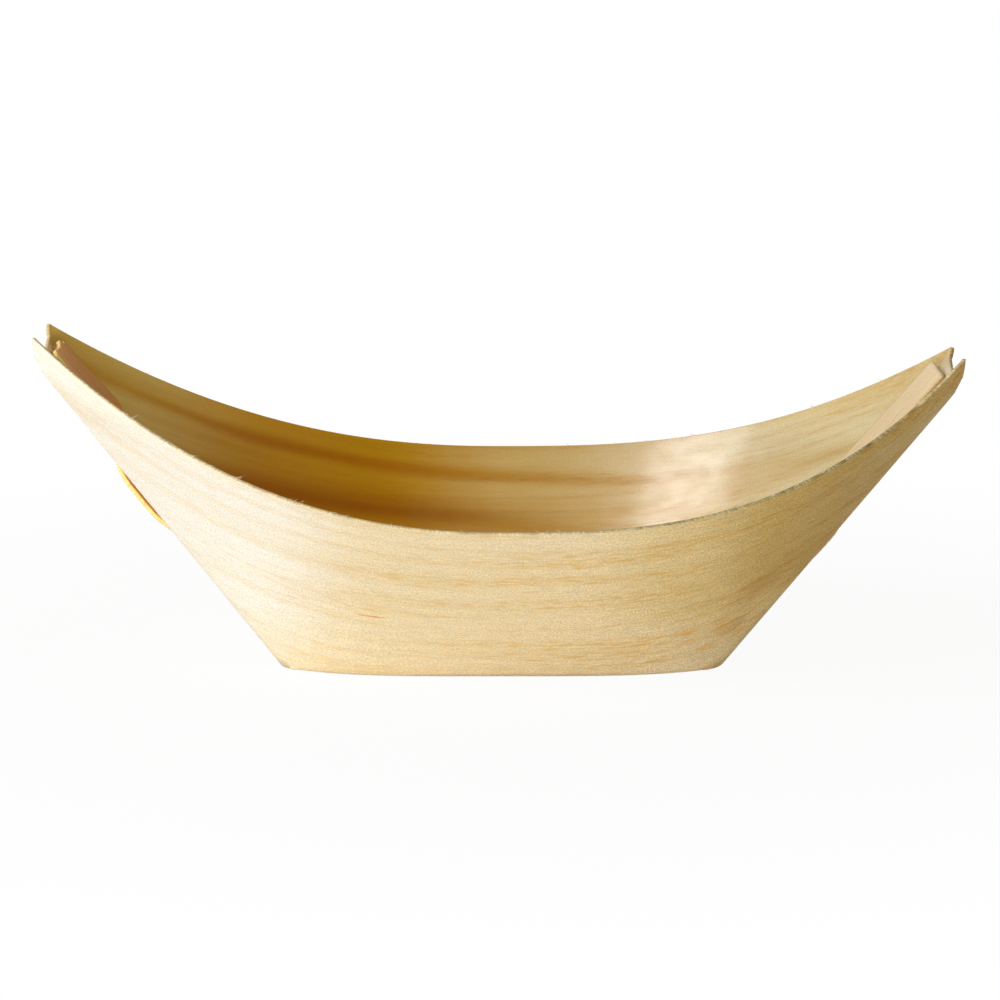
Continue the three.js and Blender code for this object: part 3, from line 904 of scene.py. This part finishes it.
def veneer(
    name, colours, amounts, rough, bump, specular,
    rings=(), marks=(), tints=(), lean=0, glow=0, sheen=None,
):
    """colours: pale, deep and dash. amounts: of bands, dashes and speckle.
    rough: least and greatest roughness. bump: height of the fibres. specular: its level.
    rings: centre, slope, curve, width and wobble, colour and strength of each growth ring.
    marks: place, length, height and lean, colour and strength of each resin mark.
    tints: distance from the middle and factor of the colour. lean: how far they lean.
    glow: how much light the wood lets through. sheen: its polish at the left and the right."""
    material, tree = new_material(name)
    sheet = add_node("UVMap", {}, tree, uv_map=UV_MAP).outputs[0]
    values = dict(zip(("Pale", "Deep", "Dash"), (srgb(*colour) for colour in colours)))
    values.update(zip(("Bands", "Dashes", "Speckle"), amounts))
    grain = add_group(GRAIN, sheet, values)
    colour = grain["Color"]
    for centre, slope, curve, width, wobble, tint, strength in rings:
        values = {"Centre": centre / UV_UNIT, "Slope": slope, "Curve": curve}
        values.update({"Width": width / UV_UNIT, "Wobble": wobble / UV_UNIT})
        ring = add_group(RING, sheet, values)
        colour = mix_colour(times(ring["Mask"], strength), colour, srgb(*tint), "MULTIPLY")
    if tints:
        colour = sheet_tint(sheet, colour, tints, lean)
    for (along, down), length, height, slant, tint, strength in marks:
        values = {"Place": (along / UV_UNIT, down / UV_UNIT, 0), "Length": length / UV_UNIT}
        mark = add_group(MARK, sheet, {**values, "Height": height / UV_UNIT, "Lean": slant})
        colour = mix_colour(times(mark["Mask"], strength), colour, srgb(*tint))
    roughness = map_range(grain["Mottle"], *MOTTLE_RANGE, *rough)
    inputs = {"Strength": 1.0, "Distance": bump * MM, "Height": grain["Height"]}
    relief = add_node("Bump", inputs).outputs[0]
    inputs = {"Base Color": colour, "Roughness": roughness, "Normal": relief}
    inputs.update({"Specular IOR Level": specular, **COAT})
    if sheen:
        polish = map_range(sheet_along(sheet), *SHEEN_ALONG, *sheen)
        worn = map_range(grain["Mottle"], *SHEEN_WORN)
        inputs["Coat Weight"] = times(polish, worn)
    shader = add_node("BsdfPrincipled", inputs)
    if glow:
        warm = mix_colour(1.0, colour, THROUGH, "MULTIPLY")
        through = add_node("BsdfTranslucent", {"Color": warm})
        shader = mix_shader(glow, shader, through)
    show(shader)
    return material


# %% [markdown]
# The hull's faces. The sheet's outside is cream at the left end and brown at the right, partly its
# own colour, partly painted light on the left end, where the key lamp falls, and painted shade on
# the right, which turns from it. Vertex colours could hold that, but a ramp of tints along the
# sheet is easier to change. The marks that catch the eye
# are set one by one. The tints of the inside also hold some shade of its left half.

# %% Outside of the hull
FRONT_MARKS = [
    ((-21.6, 20.9), 7.5, 0.6, -0.03, (222, 150, 56), 0.9),
    ((-12, 12.5), 9.0, 0.5, 0.02, (232, 186, 110), 0.4),
    ((6, 13.0), 11.0, 0.5, 0.0, (228, 178, 104), 0.4),
    ((47, 22.5), 17.0, 8.0, -0.1, (178, 122, 42), 0.4),
    ((42, 29.0), 10.0, 4.0, -0.05, (186, 132, 50), 0.4),
    ((60, 6.0), 16.0, 3.0, -0.05, (178, 122, 44), 0.35),
]
OUTSIDE = veneer(
    "loose_face",
    ((239, 232, 218), (233, 221, 194), (224, 182, 92)),
    (0.9, 0.6, 0.95),
    rough=(0.5, 0.65), bump=0.06, specular=0.2,
    lean=18,
    marks=FRONT_MARKS,
    # the tints are partly the wood's own colour, partly painted light at the left end and painted
    # shade at the right
    tints=[
        (-45, (1.0, 1.0, 1.0)), (-20, (0.90, 0.80, 0.59)),
        (12, (0.91, 0.80, 0.57)), (33, (0.84, 0.70, 0.40)),
        (51, (0.68, 0.51, 0.20)), (70, (0.66, 0.49, 0.19)),
        (95, (0.72, 0.55, 0.24)),
    ],
)
print(OUTSIDE.name, len(FRONT_MARKS), "marks")

# %% Inside and edge of the hull
BACK_RINGS = [
    (BACK_START + 6.3, 0.053, 0.035, 1.5, 1.6, (228, 197, 52), 1.0),
    (BACK_START + 16.1, 0.123, 0.168, 2.9, 1.6, (214, 184, 36), 1.0),
]
INSIDE = veneer(
    "tight_face",
    ((237, 217, 174), (224, 195, 136), (204, 150, 70)),
    (1.0, 0.4, 0.4),
    rough=(0.3, 0.4), bump=0.02, specular=0.1,
    sheen=(0.02, 0.95),
    rings=BACK_RINGS,
    # the tints are partly the wood's own colour, partly painted shade on the inside's left half
    tints=[
        (-80, (1.0, 0.95, 0.48)), (-45, (0.88, 0.60, 0.06)),
        (-22, (0.80, 0.54, 0.02)), (5, (0.90, 0.79, 0.43)),
        (30, (1.0, 0.95, 0.80)), (55, (0.93, 0.95, 0.88)),
        (88, (0.86, 0.89, 0.80)),
    ],
)
EDGE = veneer(
    "cut_edge",
    ((240, 226, 190), (220, 198, 150), (160, 122, 66)),
    (1.0, 0.6, 1.4),
    rough=(0.7, 0.85), bump=0.08, specular=0.2,
    tints=[
        (0, (0.95, 0.92, 0.82)), (30, (0.58, 0.57, 0.44)),
        (70, (0.48, 0.48, 0.36)), (92, (0.9, 0.85, 0.7)),
    ],
)
print(INSIDE.name, len(BACK_RINGS), "rings,", EDGE.name)

# %% [markdown]
# The strips' faces. The left strip is red inside, partly its own colour and partly painted shade.
# Its bow face is cream and its cut edge gold, partly painted light of the glow through the bow.
# Light does come through its bow and glows in the gap behind. A lamp in the gap would light the
# hull too, so the faces let light through instead.

# %% Faces of the strips
STRIP_AMOUNTS = (0.9, 0.5, 0.5)
STRIP_SURFACE = {"rough": (0.45, 0.6), "bump": 0.04}


def strip_veneer(name, colours, glow, amounts=STRIP_AMOUNTS, specular=0.1):
    return veneer(name, colours, amounts, specular=specular, glow=glow, **STRIP_SURFACE)


# the left strip's red inside is partly painted shade, its cream bow face and gold edge partly
# painted light
RED_WITH_PAINTED_SHADE = ((235, 193, 111), (229, 176, 87), (207, 139, 51))
GOLD_WITH_PAINTED_LIGHT = ((252, 234, 160), (248, 218, 128), (230, 180, 84))
CREAM_WITH_PAINTED_LIGHT = ((250, 232, 180), (244, 216, 150), (226, 178, 96))
PALE = ((248, 228, 184), (240, 214, 164), (216, 170, 106))
PAINTED_SHADE_RED_FACE = strip_veneer("red_strip_face_painted_shade", RED_WITH_PAINTED_SHADE, glow=0.35)
PAINTED_LIGHT_GOLD_EDGE = strip_veneer("gold_strip_edge_painted_light", GOLD_WITH_PAINTED_LIGHT, glow=0.05)
PAINTED_LIGHT_BOW_FACE = strip_veneer("bow_strip_face_painted_light", CREAM_WITH_PAINTED_LIGHT, glow=0.7)
PALE_FACE = strip_veneer("pale_strip_face", PALE, 0.15, amounts=(0.8, 0.25, 0.5), specular=0.25)
STRAW = ((246, 236, 210), (236, 218, 180), (222, 190, 140))
FIBRE = veneer("loose_fibre", STRAW, STRIP_AMOUNTS, rough=(0.5, 0.7), bump=0.01, specular=0.2)
print([face.name for face in (PAINTED_SHADE_RED_FACE, PAINTED_LIGHT_GOLD_EDGE, PAINTED_LIGHT_BOW_FACE, PALE_FACE, FIBRE)])

# %% [markdown]
# The pieces. Extruding would give a sheet its thickness, but a Solidify modifier also sorts inside,
# outside and cut edge into materials.

# %% Hull
hull = make_piece("veneer_hull", build_hull(), [OUTSIDE, INSIDE, EDGE])
give_thickness(hull)
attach(hull, "root")
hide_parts("folded_hull")
print(hull.name, len(hull.data.polygons), "faces")

# %% Strips
STRIP_LOOKS = [  # name, strip, tear of its end, finishes of inside, outside and edge
    ("left", LEFT_STRIP, 1.2, [PAINTED_SHADE_RED_FACE, PAINTED_LIGHT_BOW_FACE, PAINTED_LIGHT_GOLD_EDGE]),
    ("right", RIGHT_STRIP, 0.05, [PALE_FACE, PALE_FACE, PALE_FACE]),
]
for name, strip, ragged, faces in STRIP_LOOKS:
    bm = new_sheet()
    lay_strip(bm, strip, ragged)
    piece = make_piece(name + "_woven_strip", bm, faces)
    give_thickness(piece)
    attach(piece, "root")
    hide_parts(name + "_lock_strip")
    print(piece.name, len(piece.data.polygons), "faces")

# %% [markdown]
# Loose fibres. Where the knife cut the rims and where the left strip was torn off, a few fibres
# stand out. Hair particles would need a guide for each curl, so each fibre is a thin three-sided
# cone with a bend, set on the edge at random from a fixed seed.

# %% Shape of a fibre
FIBRE_SIDES = 3
FIBRE_CUTS = 2  # along its length, where it bends
FIBRE_TIP = 0.1  # thickness of its tip, as a share of its foot


def straight_fibre(bm):
    """A spike with a foot and a length of 1, cut across where it can bend."""
    bmesh.ops.create_cone(
        bm, cap_ends=True, segments=FIBRE_SIDES, radius1=1, radius2=FIBRE_TIP, depth=1
    )
    long_edges = [edge for edge in bm.edges if abs(edge.verts[0].co.z - edge.verts[1].co.z) > 0.5]
    bmesh.ops.subdivide_edges(bm, edges=long_edges, cuts=FIBRE_CUTS)
    return [*bm.verts, *bm.edges, *bm.faces]


def lay_fibre(bm, spike, base, sheet, reach, curl, radius):
    """A copy of the spike from base along reach, bent by curl at its tip."""
    side = reach.orthogonal().normalized()
    across = reach.cross(side).normalized()
    uv_layer = bm.loops.layers.uv[UV_MAP]
    for item in bmesh.ops.duplicate(bm, geom=spike)["geom"]:
        if isinstance(item, bmesh.types.BMVert):
            t = item.co.z + 0.5
            spoke = (side * item.co.x + across * item.co.y) * radius
            item.co = (base + reach * t + curl * t * t + spoke) * MM
        elif isinstance(item, bmesh.types.BMFace):
            for loop in item.loops:
                loop[uv_layer].uv = sheet / UV_UNIT


# %% Fibres on the rims and on the torn end
FIBRE_SEED = 11
RIM_FIBRES = {FRONT: 190, BACK: 50}
RIM_SHARE = 0.93  # of the rim, on which fibres stand
RIM_CROWD = 1.3  # above 1 more of them stand at the right
RIM_FOOT = (0.25, 0.1)  # of a fibre's foot, out and down from the rim
RIM_LEAN = (0.8, 0.4)  # of a fibre along the rim and out of it
RIM_FIBRE_LENGTH, RIM_FIBRE_RADIUS = 1.8, 0.06
TORN_FIBRES = 26
TORN_DEPTH = 0.8  # of a fibre's foot below the torn end
TORN_FIBRE_RADIUS = 0.09
TORN_SHARE = 0.96  # of the strip's width


def lay_fibres(bm):
    chance = random.Random(FIBRE_SEED)
    spike = straight_fibre(bm)
    for panel, count in RIM_FIBRES.items():
        for _ in range(count):
            s = RIM_SHARE * (1 - 2 * chance.random() ** RIM_CROWD)
            sideways = rim_frame(panel, s)[1] * chance.choice((-1, 1))
            up = (panel.rim(s) - panel.bottom(s)).normalized()
            out = sideways.cross(up).normalized() * chance.uniform(-1, 1)
            length = chance.uniform(0.3, 1.0) ** 2 * RIM_FIBRE_LENGTH
            base = panel.rim(s) + out * RIM_FOOT[0] - up * RIM_FOOT[1]
            reach = sideways * RIM_LEAN[0] + up * chance.uniform(0.2, 0.9) + out * RIM_LEAN[1]
            reach = reach.normalized() * length
            curl = (out * chance.uniform(-0.3, 0.5) - up * chance.uniform(-0.2, 0.5)) * length
            sheet = panel_sheet(panel, s, 1)
            lay_fibre(bm, spike, base, sheet, reach, curl, RIM_FIBRE_RADIUS)
    end = LEFT_STRIP.end
    for _ in range(TORN_FIBRES):
        across = chance.uniform(-TORN_SHARE, TORN_SHARE) * LEFT_STRIP.half(LEFT_STRIP.top)
        q = LEFT_STRIP.top - TORN_DEPTH
        base = end.place(q, across, LEFT_STRIP.height(q), 0)
        length = chance.uniform(0.9, 1.9)
        reach = (end.along + end.out * chance.uniform(-0.2, 0.2)).normalized() * length
        curl = Vector((0, chance.uniform(-0.3, 0.3), 0)) + end.out * chance.uniform(-0.3, 0.3)
        sheet = Vector((q, across))
        lay_fibre(bm, spike, base, sheet, reach, curl, TORN_FIBRE_RADIUS)
    bmesh.ops.delete(bm, geom=[item for item in spike if isinstance(item, bmesh.types.BMVert)])


bm = new_sheet()
lay_fibres(bm)
fibres = make_piece("loose_fibres", bm, [FIBRE])
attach(fibres, "root")
print(fibres.name, len(fibres.data.polygons), "faces")

# %% [markdown]
# The stage. A white room would give the photograph's backdrop, but would light the wood from all
# sides. So floor and world are white to the camera only, and near the boat there is some shadow.

# %% Floor
SHADOW_NEAR, SHADOW_FAR = 0.07, 0.22  # where its shadow starts to fade, and is gone
FLOOR_COLOUR = (0.88, 0.88, 0.88, 1)
FLOOR_COVER = 0.94  # share of white over the shadow under the boat
FLOOR_HALF = 4  # of the floor's side, in metres
WHITE = {"Color": (1, 1, 1, 1), "Strength": 1.0}


def seen_white(tree):
    """Whether the camera sees it, straight, in a mirror or through glass."""
    path = add_node("LightPath", {}, tree).outputs
    mirrored = math_node("MAXIMUM", path["Is Glossy Ray"], path["Is Transmission Ray"])
    return math_node("MAXIMUM", path["Is Camera Ray"], mirrored)


def floor_material(name, colour, cover):
    """White to the camera, but under the boat only by the share cover. Clear from below."""
    material, tree = new_material(name)
    matte = add_node("BsdfDiffuse", {"Color": colour}, tree)
    white = add_node("Emission", WHITE, tree)
    place = add_node("TexCoord", {}, tree).outputs["Object"]
    away = add_node("VectorMath", {0: place}, operation="LENGTH").outputs[1]
    share = map_range(away, SHADOW_NEAR, SHADOW_FAR, cover, 1.0)
    shader = mix_shader(times(seen_white(tree), share), matte, white)
    clear = add_node("BsdfTransparent", {}, tree)
    below = add_node("NewGeometry", {}, tree).outputs["Backfacing"]
    show(mix_shader(below, shader, clear))
    return material


bm = bmesh.new()
bmesh.ops.create_grid(bm, x_segments=1, y_segments=1, size=FLOOR_HALF)
floor = make_piece("floor", bm, [floor_material("floor_white", FLOOR_COLOUR, FLOOR_COVER)])
print(floor.name, 2 * FLOOR_HALF, "m")

# %% World
ROOM = {"Color": (1.0, 0.92, 0.78, 1), "Strength": 0.10}
world = bpy.data.worlds.new("studio")
bpy.context.scene.world = world
world.use_nodes = True
tree = world.node_tree
tree.nodes.clear()
room = add_node("Background", ROOM, tree)
white = add_node("Background", WHITE, tree)
show(mix_shader(seen_white(tree), room, white), "OutputWorld")
print(world.name, len(tree.nodes), "nodes")

# %% [markdown]
# Five lamps. The key at the upper left leaves the inside's left half in shade. A low lamp lights
# the front panel, the sheen lamp is mirrored in the inside's right half, and two weak ones fill the
# right and the back. An environment image could light the boat too, but would be a file to read.

# %% Lights
AIM = Vector((0, 0, 0.025))  # of the lamps


def soft_light(name, direction, distance, size, level, colour):
    """A lamp of that size, in metres. Level 1 makes a facing white surface white."""
    light = bpy.data.lights.new(name, "AREA")
    light.shape = "RECTANGLE"
    light.size, light.size_y = size
    light.energy = level * math.pi**2 * distance**2
    light.color = colour
    lamp = bpy.data.objects.new(name, light)
    bpy.context.scene.collection.objects.link(lamp)
    lamp.location = AIM + Vector(direction).normalized() * distance
    lamp.rotation_euler = (AIM - lamp.location).to_track_quat("-Z", "Y").to_euler()
    return lamp


LAMPS = [  # name, direction, distance, width and height, level and colour
    ("key", (-0.81, -0.14, 0.57), 0.8, (0.30, 0.30), 0.47, (1, 1, 1)),
    ("front_low", (-0.16, -0.98, -0.06), 0.32, (0.40, 0.03), 0.77, (1, 1, 1)),
    ("sheen", (-0.58, -0.42, 0.70), 0.9, (0.48, 0.14), 0.29, (1, 1, 1)),
    ("far_side", (0.8, 0.1, 0.6), 0.9, (0.40, 0.40), 0.14, (1.0, 0.90, 0.78)),
    ("back_fill", (0.1, 0.99, 0.0), 0.9, (0.60, 0.04), 0.22, (1.0, 0.95, 0.88)),
]
lamps = [soft_light(*numbers) for numbers in LAMPS]
lamps[0].visible_glossy = False  # the key is not mirrored in the wood
print("lamps:", [lamp.name for lamp in lamps])

# %% [markdown]
# The camera stands 0.7 m away with a long lens. It could be aimed by eye, but its height was fitted
# to the two rims in the photograph, so it is set by numbers.

# %% Camera
VIEW_DISTANCE = 0.700
VIEW_ELEVATION = math.radians(11.23)
VIEW_TARGET = Vector((0.00017, 0, 0.02725))
PIXELS = 1000  # side of the photograph
FOCAL_PIXELS = 3771  # focal length
SENSOR = 36  # width in millimetres
camera_data = bpy.data.cameras.new("camera")
camera_data.sensor_width = SENSOR
camera_data.lens = SENSOR * FOCAL_PIXELS / PIXELS
camera = bpy.data.objects.new("camera", camera_data)
bpy.context.scene.collection.objects.link(camera)
toward = Vector((0, -math.cos(VIEW_ELEVATION), math.sin(VIEW_ELEVATION)))
camera.location = VIEW_TARGET + toward * VIEW_DISTANCE
camera.rotation_euler = (math.pi / 2 - VIEW_ELEVATION, 0, 0)
bpy.context.scene.camera = camera
bpy.context.scene.view_settings.view_transform = "Standard"
print("lens:", round(camera_data.lens, 1), "mm")
